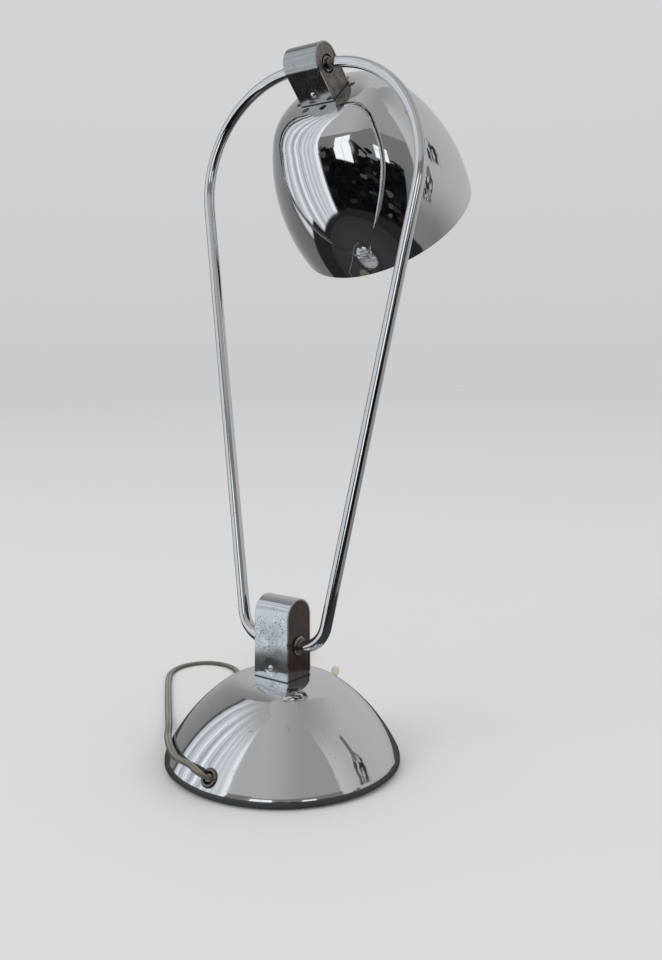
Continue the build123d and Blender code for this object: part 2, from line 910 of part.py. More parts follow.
def base_lead():
    """Held end of the flex: through the eyelet, under the clamp and to the switch."""
    start = eyelet_frame.from_local_coords((0, 0, eyelet_proud))
    finish = switch_frame.from_local_coords(
        (switch_body_width / 2, 0, -switch_body_drop - switch_body_height / 2)
    )
    turn_in = (finish.X + lead_entry_run, finish.Y, finish.Z)
    inward = eyelet_frame.from_local_coords((0, 0, eyelet_proud - lead_inward_run))
    corner = (0, lead_corner_inset - eyelet_radius, lead_height)
    points = [start, inward, corner, *lead_route, turn_in, finish]
    return rod("base_lead", points, lead_diameter, bend_radii(points))


def cord_clamp():
    """Saddle that holds the lead down on the weight."""
    channel = lead_diameter / 2 + seat_clearance
    front = Plane.XZ.offset(clamp_distance - clamp_length / 2)
    with BuildPart() as clamp:
        with BuildSketch(front):
            with Locations((0, weight_top + clamp_height / 2)):
                RectangleRounded(clamp_width, clamp_height, clamp_corner)
            with Locations((0, lead_height)):
                Circle(channel, mode=Mode.SUBTRACT)
            with Locations((0, weight_top + channel / 2)):
                Rectangle(2 * channel, channel, mode=Mode.SUBTRACT)
        extrude(amount=clamp_length)
        with BuildSketch(Plane.XY.offset(weight_top)):
            with Locations((0, -clamp_distance)):
                with GridLocations(clamp_screw_spacing, 0, 2, 1):
                    Circle(clamp_screw_shank / 2 + thread_clearance)
        extrude(amount=clamp_height, mode=Mode.SUBTRACT)
    return clamp.part


def clamp_screws():
    length = clamp_height + clamp_screw_bite
    pieces = []
    for side in (1, -1):
        spot = (side * clamp_screw_spacing / 2, -clamp_distance, weight_top + clamp_height)
        top = Plane(origin=spot)
        pieces.append(screw(top, clamp_screw_head, clamp_screw_dome, clamp_screw_shank, length))
    return together(pieces)


def switch_lead():
    """Lead from the switch up through the stem's slot to the gap between the tube's ends."""
    start = switch_frame.from_local_coords(
        (0, -switch_body_length / 2, -switch_body_drop - switch_body_height / 2)
    )
    slope = radians(switch_slope)
    away = (0, start.Y - lead_entry_run * cos(slope), start.Z + lead_entry_run * sin(slope))
    top = lower_frame.origin.Z - (lead_diameter + switch_lead_diameter) / 2 - lead_gap
    points = [start, away, (0, 0, stem_lead_height), (0, 0, top)]
    return rod("switch_lead", points, switch_lead_diameter, bend_radii(points))


def cord():
    """Free flex from the eyelet to the coil."""
    start = eyelet_frame.from_local_coords((0, 0, eyelet_proud))
    leaves = eyelet_frame.from_local_coords((0, 0, eyelet_proud + cord_exit_run))
    finish = coil_ends()[0]
    joins = finish - coil_point(0)[1] * cord_coil_run
    near = [
        (
            (base_radius + outwards) * cos(radians(turn)),
            (base_radius + outwards) * sin(radians(turn)),
            height,
        )
        for turn, outwards, height in cord_round_base
    ]
    points = [start, leaves, *near, *cord_route, joins, finish]
    return rod("cord", points, cord_diameter, bend_radii(points))


def cord_tail():
    """Free flex from the coil to the plug."""
    start = coil_ends()[1]
    leaves = start + coil_point(2 * coil_turns_in)[1] * tail_coil_run
    straight = plug_frame.from_local_coords((0, 0, -tail_plug_run))
    points = [start, leaves, *tail_route, straight, plug_frame.origin]
    return rod("cord_tail", points, cord_diameter, bend_radii(points))


def coil_point(turn):
    """A point of the coil's centre line and its direction, after a number of turns."""
    middle = turn - coil_turns_in
    radius = coil_inner_radius + coil_pitch * abs(middle)
    growth = coil_pitch / (2 * pi) * (1 if middle > 0 else -1)
    share = min(max(2 * middle + 0.5, 0), 1)
    height = cord_diameter / 2 + floor_clearance + coil_pitch * share**2 * (3 - 2 * share)
    climb = coil_pitch * 6 * share * (1 - share) * 2 / (2 * pi)
    if middle == 0:
        growth = 0
    angle = radians(coil_start_angle + 360 * turn)
    spot = Vector(
        coil_centre[0] + radius * cos(angle),
        coil_centre[1] + radius * sin(angle),
        height,
    )
    heading = Vector(
        growth * cos(angle) - radius * sin(angle),
        growth * sin(angle) + radius * cos(angle),
        climb,
    )
    return spot, heading.normalized()


def coil_ends():
    """The outer ends of the coil, one diameter past its first and last turn."""
    first, into = coil_point(0)
    last, out = coil_point(2 * coil_turns_in)
    return first - into * cord_diameter, last + out * cord_diameter


def least_gap(line):
    """The smallest clear distance between two turns of a wound line."""
    steps = ceil(line.length / cord_diameter * 2)
    points = [line @ (number / steps) for number in range(steps + 1)]
    apart = 8
    nearest = min(
        (one - two).length
        for number, one in enumerate(points)
        for two in points[number + apart :]
    )
    return nearest - cord_diameter


def cord_coil():
    """Spare flex wound inwards on the table and outwards on top, in pairs of tangent arcs."""
    quarters = round(8 * coil_turns_in)
    nodes = [coil_point(number / 4) for number in range(quarters + 1)]
    enter, leave = coil_ends()
    with BuildPart() as coil:
        with BuildLine() as line:
            Line(enter, nodes[0][0])
            for (start, into), (finish, out) in zip(nodes, nodes[1:]):
                chord = finish - start
                both = into + out
                spread = 2 * (1 - into.dot(out)) * chord.dot(chord)
                lean = chord.dot(both)
                reach = chord.dot(chord) / (lean + sqrt(lean**2 + spread))
                join = (start + finish + (into - out) * reach) / 2
                arc = TangentArc(start, join, tangent=into)
                TangentArc(join, finish, tangent=arc % 1)
            Line(nodes[-1][0], leave)
        wound = line.wires()[0]
        with BuildSketch(Plane(origin=enter, z_dir=nodes[0][1])):
            Circle(cord_diameter / 2)
        sweep(path=wound)
    print("cord_coil length", round(wound.length, 1), "gap", round(least_gap(wound), 2))
    return coil.part


def plug_body():
    """Flat moulded plug: ribbed strain relief, wedge-shaped shoulders and a blunt front."""
    frame = plug_frame
    with BuildPart() as body:
        for offset, width, height in (
            (plug_relief_length, plug_rear_width, plug_rear_height),
            (plug_relief_length + plug_length * 0.55, plug_width, plug_height),
        ):
            with BuildSketch(frame.offset(offset)):
                RectangleRounded(width, height, plug_corner)
        loft()
        with BuildSketch(frame.offset(plug_relief_length + plug_length * 0.55)):
            RectangleRounded(plug_width, plug_height, plug_corner)
        extrude(amount=plug_length * 0.45)
        with BuildSketch(frame):
            Circle(cord_diameter / 2 + plug_relief_wall)
        with BuildSketch(frame.offset(plug_relief_length)):
            Circle(plug_relief_diameter / 2)
        loft()
        with BuildSketch(frame):
            Circle(cord_diameter / 2 + seat_clearance)
        extrude(amount=plug_relief_length / 2, mode=Mode.SUBTRACT)
        with BuildSketch(frame.offset(plug_relief_length + plug_length)):
            with GridLocations(pin_spacing, 0, 2, 1):
                Circle(pin_diameter / 2)
        extrude(amount=-plug_seat, mode=Mode.SUBTRACT)
    return body.part


def plug_pins():
    """Two round pins with domed ends, set into the plug's front."""
    start = plug_relief_length + plug_length - plug_seat
    with BuildPart() as pins:
        with BuildSketch(plug_frame.offset(start)):
            with GridLocations(pin_spacing, 0, 2, 1):
                Circle(pin_diameter / 2)
        extrude(amount=plug_seat + pin_length)
        tips = pins.edges().group_by(Axis(plug_frame.origin, plug_frame.z_dir))[-1]
        fillet(tips, pin_diameter * 0.3)
    return pins.part


os.makedirs("parts", exist_ok=True)

pieces = {
    "base_felt": base_felt(),
    "base_plate": base_plate(),
    "base_plate_screws": plate_screws(),
    "base_weight": base_weight(),
    "base_dome": base_dome(),
    "tie_tube": tie_tube(),
    "tie_washer": washer(Plane.XY.offset(rim_bottom + nut_pocket_depth)),
    "tie_nut": nut(Plane.XY.offset(rim_bottom + nut_pocket_depth - washer_thickness)),
    "lower_block": bearing_block(lower_frame, lower_arch_rise, 0),
    "lower_strap": strap(lower_frame, lower_arch_rise),
    "lower_strap_screws": strap_screws(lower_frame),
    "lower_ferrules": ferrules(lower_frame, lower_flange_diameter, 0, lower_flange_proud),
    "switch_body": switch_body(),
    "switch_bush": switch_bush(),
    "switch_nut": switch_nut(),
    "switch_lead": switch_lead(),
    "switch_lever": switch_lever(),
    "cord_eyelet": cord_eyelet(),
    "base_lead": base_lead(),
    "cord_clamp": cord_clamp(),
    "cord_clamp_screws": clamp_screws(),
    "loop_tube": loop_tube(),
    "arm_lead": arm_lead(),
    "upper_block": bearing_block(upper_frame, upper_arch_rise, upper_recess_diameter),
    "upper_strap": strap(upper_frame, upper_arch_rise),
    "upper_strap_screws": strap_screws(upper_frame),
    "upper_ferrules": ferrules(
        upper_frame, upper_flange_diameter, upper_recess_depth, upper_flange_proud
    ),
    "shade_nipple": threaded_tube(crown_frame, thread_in_block, cap_top),
    "shade_washer": washer(crown_frame.offset(washer_top)),
    "shade_nut": nut(crown_frame.offset(nut_top)),
    "shade": shade(),
    "head_lead": head_lead(),
    "lampholder_cap": lampholder_cap(),
    "lampholder_body": lampholder_body(),
    "lampholder_shell": lampholder_shell(),
    "lampholder_contact": lampholder_contact(),
    "bulb_cap": bulb_cap(),
    "bulb_glass": bulb_glass(),
    "cord": cord(),
    "cord_coil": cord_coil(),
    "cord_tail": cord_tail(),
    "plug_body": plug_body(),
    "plug_pins": plug_pins(),
}

for name, piece in pieces.items():
    piece.label = name
    export_step(piece, f"parts/{name}.step")
    box = piece.bounding_box()
    print(name, len(piece.solids()), round(piece.volume), box.min, box.max)
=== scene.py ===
"""Looks of a chromed table lamp: a domed base, a tapering loop of tube and a bowl shade that tilts.

Metres, in the frame of the solids: Z up, the origin in the middle of the underside of the base and
the flex leaving at the rear, -Y.
"""

import json
from math import cos, pi, radians, sin

import bmesh
import bpy
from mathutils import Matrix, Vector


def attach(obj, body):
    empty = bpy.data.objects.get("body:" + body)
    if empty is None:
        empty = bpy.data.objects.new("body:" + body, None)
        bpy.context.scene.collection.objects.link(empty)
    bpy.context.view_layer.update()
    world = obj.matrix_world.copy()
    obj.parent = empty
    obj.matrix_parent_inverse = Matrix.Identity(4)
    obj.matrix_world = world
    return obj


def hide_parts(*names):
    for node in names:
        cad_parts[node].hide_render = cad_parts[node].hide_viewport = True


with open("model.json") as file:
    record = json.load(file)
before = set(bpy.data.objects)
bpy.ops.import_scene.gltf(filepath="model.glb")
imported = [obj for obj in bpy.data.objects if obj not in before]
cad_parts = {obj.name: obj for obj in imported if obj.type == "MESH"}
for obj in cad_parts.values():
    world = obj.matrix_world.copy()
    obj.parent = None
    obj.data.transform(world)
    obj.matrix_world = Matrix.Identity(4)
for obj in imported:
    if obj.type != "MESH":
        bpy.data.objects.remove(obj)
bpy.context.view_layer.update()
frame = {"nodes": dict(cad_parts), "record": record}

# the camera of the photo, and the level directions to it and to its left
camera_place = (0.4365, -0.5279, 0.2732)
camera_turn = (pi / 2 - 0.009, 0, 0.665)
camera_lens = 37.67
camera_sensor = 36
camera_shift = (0.0234, -0.1157)
camera_near_limit = 0.01
towards_camera = (0.617, -0.787, 0)
towards_left = (-0.787, -0.617, 0)

# the twin flex: two round cores side by side
flex_thickness = 0.0026
flex_core_offset = 0.0012
flex_core_step = 30
flex_resolution = 12
shortest_stretch = 0.0004
floor_clearance = 0.0001
layer_clearance = 0.0001

exit_point = (0.003774, -0.077166, 0.013620)
route_from_base = [
    exit_point,
    (0.0040, -0.0812, 0.0160),
    (-0.0012, -0.0828, 0.0186),
    (-0.0080, -0.0798, 0.0190),
    (-0.0150, -0.0777, 0.0186),
    (-0.0230, -0.0764, 0.0182),
    (-0.0305, -0.0734, 0.0181),
    (-0.0390, -0.0675, 0.0180),
    (-0.0470, -0.0615, 0.0180),
    (-0.0535, -0.0560, 0.0178),
    (-0.0626, -0.0476, 0.0162),
    (-0.0728, -0.0375, 0.0130),
    (-0.0842, -0.0260, 0.0092),
    (-0.0968, -0.0135, 0.0056),
    (-0.1104, -0.0005, 0.0028),
    (-0.1245, 0.0126, 0.0016),
    (-0.1400, 0.0275, 0.0014),
    (-0.1600, 0.0466, 0.0014),
    (-0.1820, 0.0680, 0.0014),
    (-0.1968, 0.0850, 0.0014),
    (-0.2015, 0.1060, 0.0014),
    (-0.1909, 0.1260, 0.0014),
    (-0.1680, 0.1300, 0.0014),
    (-0.1482, 0.1201, 0.0014),
    (-0.1316, 0.0989, 0.0014),
]
route_to_plug = [
    (-0.0627, 0.1389, 0.0036),
    (-0.0815, 0.1449, 0.0022),
    (-0.1034, 0.1404, 0.0026),
    (-0.11868, 0.14327, 0.0062),
    (-0.1267, 0.1535, 0.00695),
]
coil_centre = (-0.0813, 0.0989)
coil_inner_radius = 0.0210
coil_pitch = 0.0055
coil_turns_in = 3.25
coil_start_angle = 218.1
coil_points_per_turn = 12

# parts with another finish than that of their slot
special_finishes = {
    "base_lead": "inner_lead",
    "arm_lead": "inner_lead",
    "head_lead": "inner_lead",
    "lower_ferrules": "aged_nickel",
    "upper_ferrules": "aged_nickel",
    "cord_eyelet": "dark_nickel",
}

# plated metals: the tone, what pits and painted shade in corners turn it to, and the wear and
# painted shade of each finish
chrome_tone = (0.76, 0.775, 0.785)
pit_and_shade_tones = [(0.5, (0.26, 0.25, 0.24)), (1, (0.035, 0.03, 0.026))]
pit_and_shade_roughness = 0.45
haze_scale, haze_edge = 38.0, (0.42, 0.75)
pit_edge = (0.34, 0.12)
pit_patch_scale, pit_patch_edge = 120.0, (0.0, 0.10)
scratch_turns = (0.5, 1.9)
scratch_stretch = (1500, 18, 1500)
scratch_edge = (0.72, 0.80)
scratch_roughness = 0.25
# painted shade in corners and where parts meet: how far the occlusion looks, and where it starts
# and is full
plating_crevice_shade = (0.0016, 0.86, 0.56)
plating_relief, plating_relief_strength = 0.00005, 0.25
plated_finishes = {
    "chrome_cover": dict(
        Polish=0.035, Haze=0.07, Pits=0.6, Pit_Spread=0.62, Scratches=0.35, Grime=1.0
    ),
    "chrome_tube": dict(
        Polish=0.06, Haze=0.06, Pits=0.6, Pit_Spread=0.60, Scratches=0.4, Grime=0.8
    ),
    "chrome_fixing": dict(
        tone=(0.84, 0.84, 0.83),
        Polish=0.06,
        Haze=0.08,
        Pits=0.5,
        Pit_Spread=0.60,
        Scratches=0.3,
        Grime=1.0,
    ),
    "aged_nickel": dict(
        tone=(0.42, 0.38, 0.33),
        Polish=0.12,
        Haze=0.16,
        Pits=0.7,
        Pit_Spread=0.55,
        Scratches=0.5,
        Grime=1.0,
    ),
    "dark_nickel": dict(
        tone=(0.20, 0.175, 0.15),
        Polish=0.16,
        Haze=0.16,
        Pits=0.7,
        Pit_Spread=0.50,
        Scratches=0.5,
        Grime=1.0,
    ),
}

# the bent straps: some of their wear is a start value and what the place adds to it
strap_finish = dict(tone=(0.70, 0.72, 0.74), Pits=0.95, Pit_Grain=700, Scratches=0.7, Grime=1.0)
strap_pit_spread = (0.60, -0.30)
strap_haze = (0.10, 0.16)
strap_polish = (0.09, 0.05)
between_blocks = (0.20, 0.30)
# painted shade on the upper strap: the darker tone and how much of it is laid over
upper_strap_shade_tone, upper_strap_shade_share = (0.16, 0.16, 0.16), 0.45
pitted_spot = (0.001, -0.0125, 0.087)
pitted_reach = (0.023, 0.008)
strap_screws = [(0, -0.0125, 0.0655), (0, 0.0125, 0.0655), (0, 0.0345, 0.4605)]
screw_pull_reach = (0.0070, 0.0020)
screw_pull_depth = 0.0003
strap_wave_scale, strap_wave_depth = 55.0, 0.00020
strap_edge_radius = 0.00045

# the shade, bright outside and satin inside
shade_finish = dict(Polish=0.03, Haze=0.035, Pits=0.4, Pit_Spread=0.64, Scratches=0.2, Grime=1.0)
shade_crown = (0, 0.048457, 0.463594)
shade_axis = (0, -0.694658, 0.719340)
shade_inside_tone = (0.44, 0.43, 0.41)
shade_inside_edge = (0.0, -0.0006)
shade_inside_roughness, shade_inside_metallic = 0.36, -0.65

# the moulded blocks
block_tones = [
    (0.36, (0.020, 0.0105, 0.0075)),
    (0.55, (0.042, 0.021, 0.014)),
    (0.72, (0.060, 0.033, 0.022)),
]
block_mottle_scale = 70.0
block_roughness = (0.14, 0.16)
block_streak_tone, block_streak_share = (0.25, 0.225, 0.195), 0.8
block_streak_edge = (0.30, 0.74)
block_streak_roughness = 0.25
# painted shade in the blocks' corners and where parts meet: its tone, roughness and occlusion
block_crevice_shade_tone, block_crevice_shade_roughness = (0.006, 0.004, 0.003), 0.3
block_crevice_shade = (0.0018, 0.88, 0.56)
block_relief, block_relief_strength = 0.00002, 0.3
upper_block_turn = 44
upper_block_streak = (0.01, 0.0009, 0.011)

# grained finishes: light tone, dark tone, scale of the grain, roughness, relief, metallic, coat
grained_finishes = {
    "felt_green_grey": ((0.10, 0.13, 0.11), (0.035, 0.05, 0.042), 900, 0.92, 0.0005, 0, 0),
    "plate_steel": ((0.52, 0.52, 0.51), (0.36, 0.35, 0.34), 220, 0.36, 0.00003, 1, 0),
    "fixing_steel": ((0.62, 0.59, 0.50), (0.45, 0.43, 0.38), 300, 0.34, 0.00003, 1, 0),
    "weight_iron": ((0.13, 0.13, 0.13), (0.05, 0.05, 0.05), 420, 0.62, 0.0003, 0.6, 0),
    "moulding_black": ((0.035, 0.033, 0.032), (0.018, 0.017, 0.017), 260, 0.34, 0.00003, 0, 0),
    "lever_cream": ((0.80, 0.76, 0.64), (0.68, 0.62, 0.49), 90, 0.3, 0.00002, 0, 0.3),
    "lead_sheath": ((0.40, 0.38, 0.34), (0.28, 0.26, 0.23), 500, 0.6, 0.0001, 0, 0),
    "socket_brass": ((0.76, 0.58, 0.27), (0.55, 0.40, 0.17), 260, 0.3, 0.00003, 1, 0),
    "bulb_metal": ((0.78, 0.77, 0.74), (0.60, 0.59, 0.56), 300, 0.3, 0.00003, 1, 0),
    "plug_brown": ((0.085, 0.055, 0.042), (0.04, 0.027, 0.022), 240, 0.42, 0.00005, 0, 0),
    "pin_metal": ((0.74, 0.70, 0.60), (0.56, 0.52, 0.44), 320, 0.3, 0.00003, 1, 0),
    "inner_lead": ((0.24, 0.23, 0.19), (0.13, 0.12, 0.095), 400, 0.4, 0.00005, 0, 0),
}
grain_to_broad_grain = 12
grain_tint_range = (0.7, 1.3)
grain_roughness_swing, smoothest_grain = 0.08, 0.02
grain_relief_strength = 0.5
noise_range = (0.3, 0.7)

# the flex across its width: clear sheath over strands, a painted highlight along each core, and
# painted shade in the groove between the two cores
flex_sheath = (0.205, 0.20, 0.16)
flex_strand = (0.105, 0.098, 0.075)
# painted highlight along each core
flex_glint = (0.38, 0.37, 0.32)
# painted shade in the grooves between the cores
flex_groove_shade = (0.014, 0.013, 0.011)
flex_bands = [
    (0.00, flex_groove_shade),
    (0.05, flex_sheath),
    (0.24, flex_sheath),
    (0.31, flex_strand),
    (0.38, flex_glint),
    (0.45, flex_sheath),
    (0.477, flex_groove_shade),
    (0.505, flex_sheath),
    (0.60, flex_glint),
    (0.67, flex_strand),
    (0.74, flex_sheath),
    (0.95, flex_sheath),
    (1.00, flex_groove_shade),
]
flex_twist = (14, 260, 1)
flex_strand_tones = [(0.0, (0.72, 0.72, 0.70)), (1.0, (1.0, 1.0, 1.0))]
flex_dirt_tones = [(0.3, (0.78, 0.75, 0.68)), (0.7, (1.0, 1.0, 1.0))]
flex_roughness = (0.28, 0.42)

# the opal bulb
opal_tones = [(0.3, (0.84, 0.83, 0.79)), (0.7, (0.93, 0.92, 0.89))]
opal_roughness = (0.12, 0.2)

# the floor, and the dark table top that the metal shows in its place, lighter near the base as a
# painted pool of light
floor_turns = [radians(3 * number) for number in range(120)]
floor_tone = (0.76, 0.76, 0.755)
mirrored_table_lit_pool = (0.032, 0.037, 0.034)
mirrored_table_far = (0.020, 0.023, 0.022)
lit_pool_radius = 0.09
table_radius = 0.275
floor_radius = 9.0

# the mirrored room, in degrees: headings, 0 at the camera and up to its left, and heights
curtain_left, curtain_right = 120, 53
curtain_bright_fold = (8, 3)
curtain_fold_scale = 0.15
curtain_fade = (44, 74)
curtain_side_edge, curtain_foot_edge = 0.6, 0.8
front_right = -58
right_wall_end = -130
right_wall_fade = (36, 72)
wall_edge = 0.4
side_wall_top, side_wall_edge = 78, 1
front_wall_top, front_wall_edge = 18, 0.6
front_wall_slant = -0.04
wall_shading = (10, -30)
wall_shading_share = 0.8
ceiling_turn = (0.25, -0.35)
dark_front = (-46, 51)
dark_front_edge = 0.8
dark_thing_scale = 0.15
dark_thing_flatness = 2.2
skyline_height, skyline_drop = 4.5, 9.0
skyline_edge = (-1.5, -2.5)
windows = [(8, 29, -13, 13), (-32, -19, -2, 7)]
window_edge = 0.4
window_post_half = 0.5
window_bar = 0.8
window_bar_share = 0.62
window_bar_edge = 0.2
window_bar_shade = -0.35
window_glow = ((8, 29), (-6, 12), 9)
window_glow_share = 0.28
hanging_things = [
    dict(middle=-83.5, slope=0.21, bottom=15.5, top=43, thin=2.2, wide=7.8, fan=(33, 25)),
    dict(middle=-71.8, slope=0.33, bottom=-13, top=11, thin=1.6, wide=4.4, fan=(10, 2)),
]
hanging_strands = 2.6
hanging_strand_scale = 0.16
hanging_strand_edge = (0.46, 0.52)
hanging_side_edge = (0.4, -0.4)
hanging_end_edge = 1.5
hanging_stem_share, hanging_opened_share = 0.7, 0.25
table_edge_below, table_edge_soft = -46, 2
table_nearer_from = (95, 100)
table_nearer_by = 10


def grey(value):
    """A grey that is a touch cool."""
    return (value, value, value * 1.01)


wall_tones = [
    (-180, 0.52),
    (-150, 0.52),
    (-115, 0.51),
    (-80, 0.48),
    (front_right - 1.5, 0.58),
    (front_right, 0.20),
    (curtain_right, 0.20),
    (curtain_left, 0.10),
    (curtain_left + 3, 0.08),
    (curtain_left + 4, 0.24),
    (150, 0.31),
    (166, 0.44),
    (180, 0.50),
]
curtain_tones = [
    (0.30, (0.36, 0.38, 0.40)),
    (0.41, (0.66, 0.69, 0.73)),
    (0.48, (0.50, 0.53, 0.56)),
    (0.55, (0.90, 0.94, 0.98)),
    (0.61, (0.62, 0.65, 0.68)),
    (0.70, (1.00, 1.04, 1.08)),
]
curtain_fold_tone = (0.98, 1.02, 1.06)
front_tones = [
    (0.0, grey(0.003)),
    (0.50, grey(0.005)),
    (0.68, (0.010, 0.007, 0.006)),
    (0.80, (0.006, 0.008, 0.014)),
    (0.93, (0.016, 0.011, 0.009)),
    (0.975, grey(0.05)),
    (1.0, grey(0.09)),
]
wall_foot_tone = grey(0.15)
curtain_top_tone = grey(0.43)
ceiling_tone_left, ceiling_tone_right = grey(0.47), grey(0.35)
window_tone = (1.12, 1.16, 1.18)
window_glow_tone = grey(0.8)
hanging_tone = (0.014, 0.012, 0.010)
table_tone = grey(0.022)
backdrop_tones = [(0.0, grey(0.60)), (0.30, grey(0.655))]
even_light = grey(0.80)


def photo_camera():
    data = bpy.data.cameras.new("camera")
    data.lens = camera_lens
    data.sensor_width = camera_sensor
    data.shift_x, data.shift_y = camera_shift
    data.clip_start = camera_near_limit
    camera = bpy.data.objects.new("camera", data)
    camera.location = camera_place
    camera.rotation_euler = camera_turn
    bpy.context.scene.collection.objects.link(camera)
    bpy.context.scene.camera = camera
    bpy.context.scene.view_settings.view_transform = "Standard"


def shown(name, mesh, smooth=True):
    """A new object of the scene that holds a mesh."""
    for polygon in mesh.polygons:
        polygon.use_smooth = smooth
    piece = bpy.data.objects.new(name, mesh)
    bpy.context.scene.collection.objects.link(piece)
    return piece


# The flex leaves the eyelet, follows the foot of the base, crosses the table and is wound up there.


def coil_point(turn):
    """A point of the coil: wound inwards on the table, then outwards on top of the first layer."""
    middle = turn - coil_turns_in
    radius = coil_inner_radius + coil_pitch * abs(middle)
    share = min(max(2 * middle + 0.5, 0), 1)
    angle = radians(coil_start_angle + 360 * turn)
    low = flex_thickness / 2 + floor_clearance
    return (
        coil_centre[0] + radius * cos(angle),
        coil_centre[1] + radius * sin(angle),
        low + (flex_thickness + layer_clearance) * share**2 * (3 - 2 * share),
    )


def flex_line():
    """The smooth centre line of the whole flex, as points close together."""
    steps = round(2 * coil_turns_in * coil_points_per_turn)
    coil = [coil_point(number / coil_points_per_turn) for number in range(steps + 1)]
    points = route_from_base + coil + route_to_plug
    curve = bpy.data.curves.new("flex_route", "CURVE")
    curve.dimensions = "3D"
    curve.resolution_u = flex_resolution
    spline = curve.splines.new("NURBS")
    spline.points.add(len(points) - 1)
    for control, point in zip(spline.points, points):
        control.co = (*point, 1)
    spline.order_u = 3
    spline.use_endpoint_u = True
    holder = bpy.data.objects.new("flex_route", curve)
    line = bpy.data.meshes.new_from_object(holder)
    found = [vertex.co.copy() for vertex in line.vertices]
    bpy.data.objects.remove(holder)
    bpy.data.curves.remove(curve)
    bpy.data.meshes.remove(line)
    kept = [found[0]]
    for point in found[1:]:
        if (point - kept[-1]).length > shortest_stretch:
            kept.append(point)
    return kept


def flex_section():
    """The outline of two round cores joined side by side, as (across, up) pairs."""
    core = flex_thickness / 2
    rim = []
    for side, start in ((1, -150), (-1, 30)):
        for number in range(11):
            angle = radians(start + flex_core_step * number)
            rim.append((side * flex_core_offset + core * cos(angle), core * sin(angle)))
    return rim


def flex_mesh(line):
    """The twin flex swept along its line with its flat side down."""
    rim = flex_section()
    mesh = bpy.data.meshes.new("flex")
    made = bmesh.new()
    along = made.loops.layers.uv.new("along")
    rings, run, runs = [], 0, []
    for number, point in enumerate(line):
        before = line[max(number - 1, 0)]
        after = line[min(number + 1, len(line) - 1)]
        heading = (after - before).normalized()
        across = heading.cross(Vector((0, 0, 1))).normalized()
        up = across.cross(heading)
        rings.append([made.verts.new(point + across * x + up * z) for x, z in rim])
        run += (point - before).length
        runs.append(run)
    count = len(rim)
    for number, (one, two) in enumerate(zip(rings, rings[1:])):
        for side in range(count):
            after = (side + 1) % count
            face = made.faces.new((one[side], two[side], two[after], one[after]))
            corners = (
                (side, runs[number]),
                (side, runs[number + 1]),
                (side + 1, runs[number + 1]),
                (side + 1, runs[number]),
            )
            for loop, (around, length) in zip(face.loops, corners):
                loop[along].uv = (around / count, length)
    made.faces.new(rings[0])
    made.faces.new(reversed(rings[-1]))
    bmesh.ops.recalc_face_normals(made, faces=made.faces)
    made.to_mesh(mesh)
    made.free()
    return mesh


def flex():
    line = flex_line()
    piece = shown("flex", flex_mesh(line))
    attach(piece, "base")
    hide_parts("cord", "cord_coil", "cord_tail")
    return piece


# Nodes: short ways to place and join them.


def new_material(name):
    material = bpy.data.materials.new(name)
    material.use_nodes = True
    tree = material.node_tree
    return material, tree, tree.nodes["Principled BSDF"]


def add(tree, kind, **values):
    """A new node, with values for its properties and, for names with a capital, its sockets."""
    node = tree.nodes.new(kind)
    for name, value in values.items():
        if name[0].isupper():
            node.inputs[name.replace("_", " ")].default_value = value
        else:
            setattr(node, name, value)
    return node


def give(tree, place, value):
    """Fills an input with a socket's value, a number, a vector or a colour."""
    if isinstance(value, tuple):
        place.default_value = (*value, 1) if place.type == "RGBA" else value
    elif isinstance(value, (int, float)):
        place.default_value = value
    else:
        tree.links.new(value, place)


def textured(tree, kind, place, **values):
    """A texture node that reads a place."""
    node = add(tree, kind, **values)
    tree.links.new(place, node.inputs["Vector"])
    return node


def noise(tree, place, **values):
    return textured(tree, "ShaderNodeTexNoise", place, **values).outputs["Fac"]


def maths(tree, operation, *values):
    """A maths node over sockets and numbers; gives its output socket."""
    node = add(tree, "ShaderNodeMath", operation=operation)
    for place, value in zip(node.inputs, values):
        give(tree, place, value)
    return node.outputs[0]


def changed(tree, share, start, change):
    """The start value, with the change added in proportion to the share."""
    return maths(tree, "MULTIPLY_ADD", share, change, start)


def every(tree, *shares):
    """The share of what lies in all of several shares."""
    product = shares[0]
    for share in shares[1:]:
        product = maths(tree, "MULTIPLY", product, share)
    return product


def either(tree, *shares):
    """The share of what lies in at least one of several shares."""
    most = shares[0]
    for share in shares[1:]:
        most = maths(tree, "MAXIMUM", most, share)
    return most


def vectors(tree, operation, *values):
    """A vector maths node over sockets and vectors; gives its vector or, for a measure, a value."""
    node = add(tree, "ShaderNodeVectorMath", operation=operation)
    for place, value in zip(node.inputs, values):
        give(tree, place, value)
    measured = operation in ("DISTANCE", "DOT_PRODUCT", "LENGTH")
    return node.outputs["Value" if measured else "Vector"]


def parts_of(tree, vector):
    """The outputs that hold the three parts of a vector or colour."""
    node = add(tree, "ShaderNodeSeparateXYZ")
    tree.links.new(vector, node.inputs[0])
    return node.outputs


def blended(tree, share, one, two, blend_type="MIX"):
    """The colour that goes from one to two with a share; each is a socket or a colour."""
    node = add(tree, "ShaderNodeMix", data_type="RGBA", blend_type=blend_type)
    for place, value in zip((node.inputs[0], node.inputs[6], node.inputs[7]), (share, one, two)):
        give(tree, place, value)
    return node.outputs[2]


def step(tree, value, low, high):
    """0 below low and 1 above high, smooth between; low may be the greater one."""
    node = add(
        tree, "ShaderNodeMapRange", From_Min=low, From_Max=high, interpolation_type="SMOOTHSTEP"
    )
    tree.links.new(value, node.inputs["Value"])
    return node.outputs["Result"]


def ranged(tree, value, low, high, new_low=0.0, new_high=1.0):
    """A value between low and high, moved in proportion to between two others."""
    node = add(
        tree, "ShaderNodeMapRange", From_Min=low, From_Max=high, To_Min=new_low, To_Max=new_high
    )
    tree.links.new(value, node.inputs["Value"])
    return node.outputs["Result"]


def between(tree, value, low, high, soft):
    """1 between low and high and 0 outside, with soft edges."""
    above = step(tree, value, low - soft, low + soft)
    return every(tree, above, step(tree, value, high + soft, high - soft))


